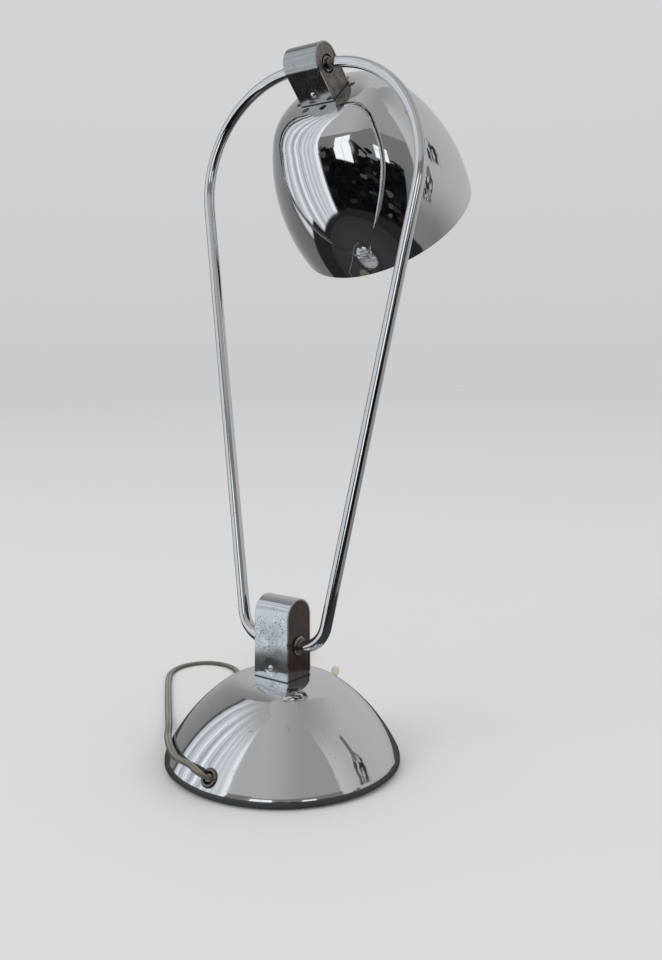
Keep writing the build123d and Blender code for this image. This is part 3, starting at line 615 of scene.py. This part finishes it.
def ramp(tree, source, stops):
    """A colour ramp over a value, from (position, colour) stops."""
    node = tree.nodes.new("ShaderNodeValToRGB")
    elements = node.color_ramp.elements
    while len(elements) < len(stops):
        elements.new(0.5)
    for element, (position, colour) in zip(elements, stops):
        element.position = position
        element.color = (*colour, 1)
    tree.links.new(source, node.inputs["Fac"])
    return node.outputs["Color"]


def bumped(tree, height, depth, strength=1.0, normal=None):
    """The normal of a surface that a height raises by up to a depth."""
    node = add(tree, "ShaderNodeBump", Strength=strength, Distance=depth)
    tree.links.new(height, node.inputs["Height"])
    if normal is not None:
        tree.links.new(normal, node.inputs["Normal"])
    return node.outputs["Normal"]


def crevices(tree, reach, start, full):
    """How deep in a corner a place is: 0 where it is open above start, 1 where it is below full."""
    node = add(tree, "ShaderNodeAmbientOcclusion", samples=8, Distance=reach)
    return step(tree, node.outputs["AO"], start, full)


def object_place(tree):
    return add(tree, "ShaderNodeTexCoord").outputs["Object"]


def on_upper_block(tree, place):
    return step(tree, parts_of(tree, place)["Z"], *between_blocks)


# Materials: the finish of each part, with its wear.


def plated_wear_and_shade():
    """A node group for plated metal: haze, pits in patches, fine scratches and painted shade in
    corners.
    """
    tree = bpy.data.node_groups.new("plated_wear_and_shade", "ShaderNodeTree")
    for name, value in (
        ("Polish", 0.05),
        ("Haze", 0.1),
        ("Pits", 0.3),
        ("Pit Spread", 0.5),
        ("Pit Grain", 900.0),
        ("Scratches", 0.3),
        ("Grime", 0.6),
    ):
        socket = tree.interface.new_socket(name, in_out="INPUT", socket_type="NodeSocketFloat")
        socket.default_value = value
    for name in ("Roughness", "PitsAndShade", "Height"):
        tree.interface.new_socket(name, in_out="OUTPUT", socket_type="NodeSocketFloat")
    given = add(tree, "NodeGroupInput").outputs
    gives = add(tree, "NodeGroupOutput").inputs
    place = object_place(tree)

    clouds = noise(tree, place, Scale=haze_scale, Detail=5.0, Roughness=0.6)
    cloud = step(tree, clouds, *haze_edge)

    specks = textured(tree, "ShaderNodeTexVoronoi", place, feature="F1")
    tree.links.new(given["Pit Grain"], specks.inputs["Scale"])
    patches = noise(tree, place, Scale=pit_patch_scale, Detail=3.0)
    patch = step(tree, maths(tree, "SUBTRACT", patches, given["Pit Spread"]), *pit_patch_edge)
    speck = step(tree, specks.outputs["Distance"], *pit_edge)
    pits = every(tree, speck, patch, given["Pits"])

    hairs = []
    for turn in scratch_turns:
        stretch = add(tree, "ShaderNodeMapping")
        stretch.inputs["Rotation"].default_value = (turn, turn * 0.6, turn * 1.3)
        stretch.inputs["Scale"].default_value = scratch_stretch
        tree.links.new(place, stretch.inputs["Vector"])
        lines = noise(tree, stretch.outputs["Vector"], Scale=1.0, Detail=1.0)
        hairs.append(step(tree, lines, *scratch_edge))
    scratches = maths(tree, "MULTIPLY", either(tree, *hairs), given["Scratches"])

    # painted shade: darker and rougher in corners and where parts meet
    crevice_shade = maths(tree, "MULTIPLY", crevices(tree, *plating_crevice_shade), given["Grime"])
    pits_and_shade = either(tree, pits, crevice_shade)

    rough = changed(tree, cloud, given["Polish"], given["Haze"])
    rough = changed(tree, pits_and_shade, rough, pit_and_shade_roughness)
    rough = changed(tree, scratches, rough, scratch_roughness)
    hollow = maths(tree, "MULTIPLY", maths(tree, "ADD", pits, scratches), -1.0)
    tree.links.new(rough, gives["Roughness"])
    tree.links.new(pits_and_shade, gives["PitsAndShade"])
    tree.links.new(hollow, gives["Height"])
    return tree


def chrome(name, wear_and_shade, tone=chrome_tone, **values):
    """Plated metal; values are the inputs of its wear and painted shade, with _ for a space."""
    material, tree, shader = new_material(name)
    shader.inputs["Metallic"].default_value = 1
    group = add(tree, "ShaderNodeGroup", node_tree=wear_and_shade, **values)
    link = tree.links.new
    link(group.outputs["Roughness"], shader.inputs["Roughness"])
    link(ramp(tree, group.outputs["PitsAndShade"], [(0, tone), *pit_and_shade_tones]), shader.inputs["Base Color"])
    relief = bumped(tree, group.outputs["Height"], plating_relief, plating_relief_strength)
    link(relief, shader.inputs["Normal"])
    return material


def grained(name, light, dark, scale, roughness, relief, metallic, coat):
    """A finish whose colour, roughness and height follow one fine grain."""
    material, tree, shader = new_material(name)
    shader.inputs["Metallic"].default_value = metallic
    shader.inputs["Coat Weight"].default_value = coat
    link = tree.links.new
    place = object_place(tree)
    grain = noise(tree, place, Scale=scale, Detail=6.0, Roughness=0.65)
    broad = noise(tree, place, Scale=scale / grain_to_broad_grain, Detail=2.0)
    tint = ranged(tree, maths(tree, "ADD", grain, broad), *grain_tint_range)
    link(ramp(tree, tint, [(0, dark), (1, light)]), shader.inputs["Base Color"])
    smoothest = max(roughness - grain_roughness_swing, smoothest_grain)
    roughest = roughness + grain_roughness_swing
    link(ranged(tree, grain, *noise_range, smoothest, roughest), shader.inputs["Roughness"])
    link(bumped(tree, grain, relief, grain_relief_strength), shader.inputs["Normal"])
    return material


def block_brown():
    """Polished brown moulding, streaked and dull on the upper block, with painted shade in its
    corners.
    """
    material, tree, shader = new_material("block_brown")
    shader.inputs["Coat Weight"].default_value = 0.5
    shader.inputs["Coat Roughness"].default_value = 0.12
    link = tree.links.new
    place = object_place(tree)
    mottle = noise(
        tree, place, Scale=block_mottle_scale, Detail=4.0, Roughness=0.55, Distortion=0.6
    )
    body = ramp(tree, mottle, block_tones)

    # streaks that run along the upper block
    stretch = add(tree, "ShaderNodeMapping", vector_type="TEXTURE")
    stretch.inputs["Rotation"].default_value = (radians(upper_block_turn), 0, 0)
    stretch.inputs["Scale"].default_value = upper_block_streak
    link(place, stretch.inputs["Vector"])
    drawn_out = stretch.outputs["Vector"]
    streaks = noise(tree, drawn_out, Scale=1.0, Detail=4.0, Roughness=0.6, Distortion=1.6)
    streak = every(tree, step(tree, streaks, *block_streak_edge), on_upper_block(tree, place))

    streaky = maths(tree, "MULTIPLY", streak, block_streak_share)
    worn = blended(tree, streaky, body, block_streak_tone)
    # painted shade in corners and where parts meet
    crevice_shade = crevices(tree, *block_crevice_shade)
    link(blended(tree, crevice_shade, worn, block_crevice_shade_tone), shader.inputs["Base Color"])
    rough = changed(tree, mottle, *block_roughness)
    rough = changed(tree, streak, rough, block_streak_roughness)
    rough = changed(tree, crevice_shade, rough, block_crevice_shade_roughness)
    link(rough, shader.inputs["Roughness"])
    link(bumped(tree, streaks, block_relief, block_relief_strength), shader.inputs["Normal"])
    return material


def strap_chrome(wear_and_shade):
    """Dulled chrome of the straps: uneven, pitted at the lower hinge, with painted shade darkening
    the upper one.
    """
    material = chrome("chrome_strap", wear_and_shade, **strap_finish)
    tree = material.node_tree
    shader = tree.nodes["Principled BSDF"]
    worn = tree.nodes["Group"].inputs
    link = tree.links.new
    place = object_place(tree)
    pitted = step(tree, vectors(tree, "DISTANCE", place, pitted_spot), *pitted_reach)
    upper = on_upper_block(tree, place)
    link(changed(tree, pitted, *strap_pit_spread), worn["Pit Spread"])
    link(changed(tree, pitted, *strap_haze), worn["Haze"])
    link(changed(tree, upper, *strap_polish), worn["Polish"])
    plated = shader.inputs["Base Color"].links[0].from_socket
    # painted shade: the upper strap is darkened
    painted_upper_shade = maths(tree, "MULTIPLY", upper, upper_strap_shade_share)
    link(blended(tree, painted_upper_shade, plated, upper_strap_shade_tone), shader.inputs["Base Color"])

    # soft edges, a slightly wavy sheet, and a pull inwards about each screw
    edges = add(tree, "ShaderNodeBevel", samples=4, Radius=strap_edge_radius)
    swell = noise(tree, place, Scale=strap_wave_scale, Detail=1.0)
    uneven = bumped(tree, swell, strap_wave_depth, normal=edges.outputs["Normal"])
    pulls = []
    for screw in strap_screws:
        away = vectors(tree, "DISTANCE", place, screw)
        pulls.append(step(tree, away, *screw_pull_reach))
    hollow = maths(tree, "MULTIPLY", either(tree, *pulls), -1.0)
    pulled = bumped(tree, hollow, screw_pull_depth, normal=uneven)
    link(pulled, tree.nodes["Bump"].inputs["Normal"])
    return material


def shade_chrome(wear_and_shade):
    """Bright chrome outside and satin grey inside, told apart by which way the surface faces."""
    material = chrome("chrome_shade", wear_and_shade, **shade_finish)
    tree = material.node_tree
    shader = tree.nodes["Principled BSDF"]
    found = add(tree, "ShaderNodeTexCoord")
    from_crown = vectors(tree, "SUBTRACT", found.outputs["Object"], shade_crown)
    around = vectors(tree, "CROSS_PRODUCT", from_crown, shade_axis)
    outwards = vectors(tree, "CROSS_PRODUCT", shade_axis, around)
    facing = vectors(tree, "DOT_PRODUCT", outwards, found.outputs["Normal"])
    inside = step(tree, facing, *shade_inside_edge)
    bright = shader.inputs["Base Color"].links[0].from_socket
    polish = shader.inputs["Roughness"].links[0].from_socket
    link = tree.links.new
    link(blended(tree, inside, bright, shade_inside_tone), shader.inputs["Base Color"])
    link(changed(tree, inside, polish, shade_inside_roughness), shader.inputs["Roughness"])
    link(changed(tree, inside, 1.0, shade_inside_metallic), shader.inputs["Metallic"])
    return material


def flex_material():
    """Clear sheath over tinned strands wound round each core, with a painted highlight on each core
    and painted shade in the groove between them.
    """
    material, tree, shader = new_material("flex_clear")
    shader.inputs["Coat Weight"].default_value = 0.6
    shader.inputs["Coat Roughness"].default_value = 0.14
    shader.inputs["Metallic"].default_value = 0.2
    link = tree.links.new
    along = add(tree, "ShaderNodeUVMap", uv_map="along").outputs["UV"]
    bands = ramp(tree, parts_of(tree, along)["X"], flex_bands)
    lay = add(tree, "ShaderNodeMapping")
    lay.inputs["Scale"].default_value = flex_twist
    link(along, lay.inputs["Vector"])
    strands = textured(
        tree,
        "ShaderNodeTexWave",
        lay.outputs["Vector"],
        wave_type="BANDS",
        bands_direction="DIAGONAL",
        Scale=0.6,
        Distortion=0.8,
    )
    shine = ramp(tree, strands.outputs["Fac"], flex_strand_tones)
    age = noise(tree, object_place(tree), Scale=60.0, Detail=3.0)
    dirt = ramp(tree, age, flex_dirt_tones)
    wound = blended(tree, 1, bands, shine, "MULTIPLY")
    link(blended(tree, 1, wound, dirt, "MULTIPLY"), shader.inputs["Base Color"])
    link(ranged(tree, age, *noise_range, *flex_roughness), shader.inputs["Roughness"])
    return material


def opal_glass():
    """Milky white glass."""
    material, tree, shader = new_material("bulb_opal")
    shader.inputs["Coat Weight"].default_value = 0.6
    shader.inputs["Subsurface Weight"].default_value = 0.3
    link = tree.links.new
    milk = noise(tree, object_place(tree), Scale=45.0, Detail=3.0)
    link(ramp(tree, milk, opal_tones), shader.inputs["Base Color"])
    link(ranged(tree, milk, *noise_range, *opal_roughness), shader.inputs["Roughness"])
    return material


def materials():
    """A material for each slot of the record, and for the special finishes."""
    wear_and_shade = plated_wear_and_shade()
    made = {name: chrome(name, wear_and_shade, **values) for name, values in plated_finishes.items()}
    made["chrome_strap"] = strap_chrome(wear_and_shade)
    made["chrome_shade"] = shade_chrome(wear_and_shade)
    made["block_brown"] = block_brown()
    made["bulb_opal"] = opal_glass()
    made["flex_clear"] = flex_material()
    for name, values in grained_finishes.items():
        made[name] = grained(name, *values)
    return made


def dress(finishes):
    """Gives each part its finish."""
    for part in frame["record"]["subparts"]:
        finish = special_finishes.get(part["node"], part["material_slot"])
        for place in frame["nodes"][part["node"]].material_slots:
            place.material = finishes[finish]


# The studio: a pale floor, soft lights and a plain room for the metal to show.


def ring(name, inner, outer, material):
    """A flat ring of the floor, or a disc where it has no inner radius."""
    made = bmesh.new()
    rim = [made.verts.new((outer * cos(turn), outer * sin(turn), 0)) for turn in floor_turns]
    if inner:
        hole = [made.verts.new((inner * cos(turn), inner * sin(turn), 0)) for turn in floor_turns]
        for number in range(len(rim)):
            made.faces.new((hole[number - 1], rim[number - 1], rim[number], hole[number]))
    else:
        made.faces.new(rim)
    mesh = bpy.data.meshes.new(name)
    made.to_mesh(mesh)
    made.free()
    mesh.materials.append(material)
    piece = shown(name, mesh, smooth=False)
    return piece


def floor():
    """A pale floor round the object; the metal shows the near part of it as a dark table top,
    lighter near the base as a painted pool of light.
    """
    material, tree, shader = new_material("floor")
    shader.inputs["Roughness"].default_value = 0.7
    away = vectors(tree, "LENGTH", object_place(tree))
    mirrored = add(tree, "ShaderNodeLightPath").outputs["Is Glossy Ray"]
    # painted pool of light: the mirrored table is a little lighter near the base
    further = step(tree, away, lit_pool_radius, table_radius)
    table = blended(tree, further, mirrored_table_lit_pool, mirrored_table_far)
    tree.links.new(blended(tree, mirrored, floor_tone, table), shader.inputs["Base Color"])
    ring("table_top", 0, table_radius, material)
    ring("far_floor", table_radius, floor_radius, material).visible_glossy = False


def walls(tree, heading, height):
    """The walls' colour, darker towards the floor."""
    turned = maths(tree, "MULTIPLY_ADD", heading, 1 / 360, 0.5)
    tones = ramp(tree, turned, [((angle + 180) / 360, grey(tone)) for angle, tone in wall_tones])
    low = step(tree, height, *wall_shading)
    return blended(tree, maths(tree, "MULTIPLY", low, wall_shading_share), tones, wall_foot_tone)


def curtain(tree, heading, height):
    """The share and the colour of a long bright curtain in folds, plainer at its top."""
    folds = add(
        tree, "ShaderNodeTexNoise", noise_dimensions="1D", Scale=1.0, Detail=3.0, Roughness=0.62
    )
    tree.links.new(maths(tree, "MULTIPLY", heading, curtain_fold_scale), folds.inputs["W"])
    colour = ramp(tree, folds.outputs["Fac"], curtain_tones)
    edge = step(tree, heading, *(curtain_right + width for width in curtain_bright_fold))
    colour = blended(tree, edge, colour, curtain_fold_tone)
    colour = blended(tree, step(tree, height, *curtain_fade), colour, curtain_top_tone)
    across = between(tree, heading, curtain_right, curtain_left, curtain_side_edge)
    up = between(tree, height, table_edge_below, side_wall_top, curtain_foot_edge)
    return every(tree, across, up), colour


def ceiling(tree, heading, height, left):
    """The share and the colour of the ceiling; left is the direction's reach to the left."""
    turned = maths(tree, "ABSOLUTE", heading)
    slant = maths(tree, "MULTIPLY_ADD", turned, front_wall_slant, height)
    above = step(tree, slant, front_wall_top - front_wall_edge, front_wall_top + front_wall_edge)
    front = every(tree, between(tree, heading, front_right, curtain_right, wall_edge), above)
    above = step(tree, height, *right_wall_fade)
    right = every(tree, between(tree, heading, right_wall_end, front_right, wall_edge), above)
    top = step(tree, height, side_wall_top - side_wall_edge, side_wall_top + side_wall_edge)
    to_right = step(tree, left, *ceiling_turn)
    colour = blended(tree, to_right, ceiling_tone_left, ceiling_tone_right)
    return either(tree, front, right, top), colour


def dark_things(tree, heading, height):
    """The share and the colour of the dark things that stand low at the front of the room."""
    place = add(tree, "ShaderNodeCombineXYZ")
    tree.links.new(heading, place.inputs[0])
    tree.links.new(maths(tree, "MULTIPLY", height, dark_thing_flatness), place.inputs[1])
    cells = textured(
        tree, "ShaderNodeTexVoronoi", place.outputs[0], feature="F1", Scale=dark_thing_scale
    )
    chance = parts_of(tree, cells.outputs["Color"])
    colour = ramp(tree, chance["X"], front_tones)
    above = maths(tree, "SUBTRACT", height, skyline_height)
    skyline = maths(tree, "MULTIPLY_ADD", chance["Y"], skyline_drop, above)
    across = between(tree, heading, *dark_front, dark_front_edge)
    return every(tree, across, step(tree, skyline, *skyline_edge)), colour


def window(tree, heading, height, right, left, bottom, top):
    """The share of a bright window with a dimmer post and cross bar."""
    middle = (right + left) / 2
    crossing = bottom + (top - bottom) * window_bar_share
    post = (middle - window_post_half, middle + window_post_half)
    bars = either(
        tree,
        between(tree, heading, *post, window_bar_edge),
        between(tree, height, crossing, crossing + window_bar, window_bar_edge),
    )
    glass = every(
        tree,
        between(tree, heading, right, left, window_edge),
        between(tree, height, bottom, top, window_edge),
    )
    return every(tree, glass, changed(tree, bars, 1.0, window_bar_shade))


def hanging(tree, heading, height, middle, slope, bottom, top, thin, wide, fan):
    """The share of a dark thing whose stem opens out downwards into strands."""
    off_middle = maths(tree, "SUBTRACT", heading, middle)
    sway = maths(tree, "MULTIPLY_ADD", height, slope, off_middle)
    opened = step(tree, height, *fan)
    half = changed(tree, opened, thin, wide - thin)
    spread = add(tree, "ShaderNodeCombineXYZ")
    across = maths(tree, "MULTIPLY", maths(tree, "DIVIDE", sway, half), hanging_strands)
    tree.links.new(across, spread.inputs[0])
    tree.links.new(maths(tree, "MULTIPLY", height, hanging_strand_scale), spread.inputs[1])
    strands = noise(tree, spread.outputs[0], Scale=1.0, Detail=2.0)
    past_edge = maths(tree, "SUBTRACT", maths(tree, "ABSOLUTE", sway), half)
    stem = maths(tree, "SUBTRACT", 1.0, opened)
    return every(
        tree,
        step(tree, past_edge, *hanging_side_edge),
        either(tree, step(tree, strands, *hanging_strand_edge), stem),
        between(tree, height, bottom, top, hanging_end_edge),
        changed(tree, opened, hanging_stem_share, hanging_opened_share),
    )


def room(tree):
    """Colour of a plain room in each direction, for the metal to show."""
    way = add(tree, "ShaderNodeTexCoord").outputs["Generated"]
    left = vectors(tree, "DOT_PRODUCT", way, towards_left)
    ahead = vectors(tree, "DOT_PRODUCT", way, towards_camera)
    up = vectors(tree, "DOT_PRODUCT", way, (0, 0, 1))
    heading = maths(tree, "MULTIPLY", maths(tree, "ARCTAN2", left, ahead), 180 / pi)
    height = maths(tree, "MULTIPLY", maths(tree, "ARCSINE", up), 180 / pi)

    colour = walls(tree, heading, height)
    for share, other in (
        curtain(tree, heading, height),
        ceiling(tree, heading, height, left),
        dark_things(tree, heading, height),
    ):
        colour = blended(tree, share, colour, other)

    headings, heights, reach = window_glow
    glow = every(
        tree, between(tree, heading, *headings, reach), between(tree, height, *heights, reach)
    )
    shine = maths(tree, "MULTIPLY", glow, window_glow_share)
    colour = blended(tree, shine, colour, window_glow_tone)
    panes = [window(tree, heading, height, *edges) for edges in windows]
    colour = blended(tree, either(tree, *panes), colour, window_tone)
    hung = [hanging(tree, heading, height, **values) for values in hanging_things]
    colour = blended(tree, either(tree, *hung), colour, hanging_tone)

    nearer = step(tree, heading, *table_nearer_from)
    below = maths(tree, "MULTIPLY_ADD", nearer, -table_nearer_by, height)
    table = step(tree, below, table_edge_below + table_edge_soft, table_edge_below)
    return blended(tree, table, colour, table_tone)


def surroundings():
    """A pale backdrop and even light; metal and glass show a plain room in front of it."""
    world = bpy.data.worlds.new("studio")
    bpy.context.scene.world = world
    world.use_nodes = True
    tree = world.node_tree
    rays = add(tree, "ShaderNodeLightPath").outputs
    mirrored = either(tree, rays["Is Glossy Ray"], rays["Is Transmission Ray"])
    way = add(tree, "ShaderNodeTexCoord").outputs["Generated"]
    backdrop = ramp(tree, parts_of(tree, way)["Z"], backdrop_tones)
    even = blended(tree, rays["Is Camera Ray"], even_light, backdrop)
    colour = blended(tree, mirrored, even, room(tree))
    tree.links.new(colour, tree.nodes["Background"].inputs["Color"])


def softbox(name, place, aim, size, watts, tone=(1, 1, 1)):
    data = bpy.data.lights.new(name, "AREA")
    data.shape = "RECTANGLE"
    data.size, data.size_y = size
    data.energy = watts
    data.color = tone
    light = bpy.data.objects.new(name, data)
    light.location = place
    light.visible_glossy = False
    light.rotation_euler = (Vector(aim) - Vector(place)).to_track_quat("-Z", "Y").to_euler()
    bpy.context.scene.collection.objects.link(light)


def lights():
    softbox(
        "window_light",
        place=(-1.3, -3.6, 3.0),
        aim=(0, 0, 0.22),
        size=(1.6, 2.0),
        watts=50,
        tone=(1, 0.99, 0.97),
    )
    softbox("fill_light", place=(4.2, 0.3, 2.9), aim=(0, 0, 0.25), size=(2.3, 2.3), watts=20)


photo_camera()
flex_piece = flex()
finishes = materials()
flex_piece.data.materials.append(finishes["flex_clear"])
dress(finishes)
floor()
surroundings()
lights()
